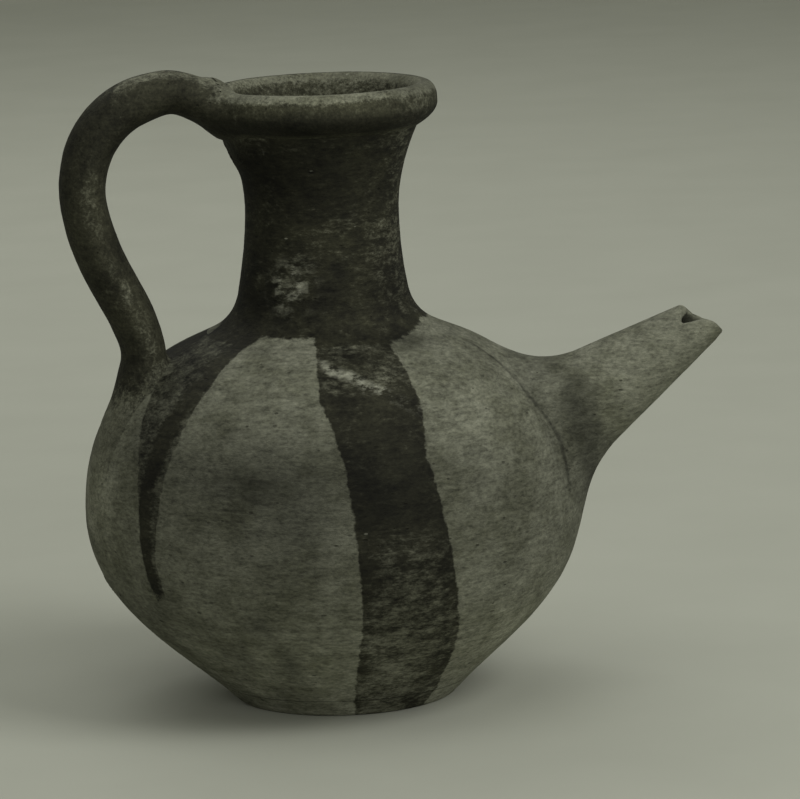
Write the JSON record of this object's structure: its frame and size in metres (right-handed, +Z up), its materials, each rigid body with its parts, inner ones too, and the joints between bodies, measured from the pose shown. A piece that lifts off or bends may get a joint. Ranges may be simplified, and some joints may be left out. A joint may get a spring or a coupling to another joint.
{
  "type": "side-spouted jug",
  "caption": "Round-bellied earthenware jug with a waisted neck, rolled rim, arched strap handle and a slanting tubular side spout.",
  "frame": {"origin": "centre of the base disc's underside, on the surface the jug stands on", "axes": "+Z up, +X towards the pouring spout, the strap handle on the -X side turned 15 degrees towards -Y"},
  "size_m": [0.2349, 0.1788, 0.2307],
  "materials": {
    "light_clay": "matt fired clay, olive grey, wiped and slightly burnished",
    "dark_paint": "matt dark slip paint on fired clay",
    "worn_paint": "dark slip paint on fired clay, rubbed and flaked through to the clay"
  },
  "bodies": {
    "root": {"base_disc": "light_clay", "lower_body": "light_clay", "upper_body": "light_clay", "neck_coil": "dark_paint", "neck": "dark_paint", "rim": "worn_paint", "handle": "worn_paint", "handle_tail": "worn_paint", "spout": "light_clay", "spout_collar": "worn_paint"}
  },
  "joints": []
}
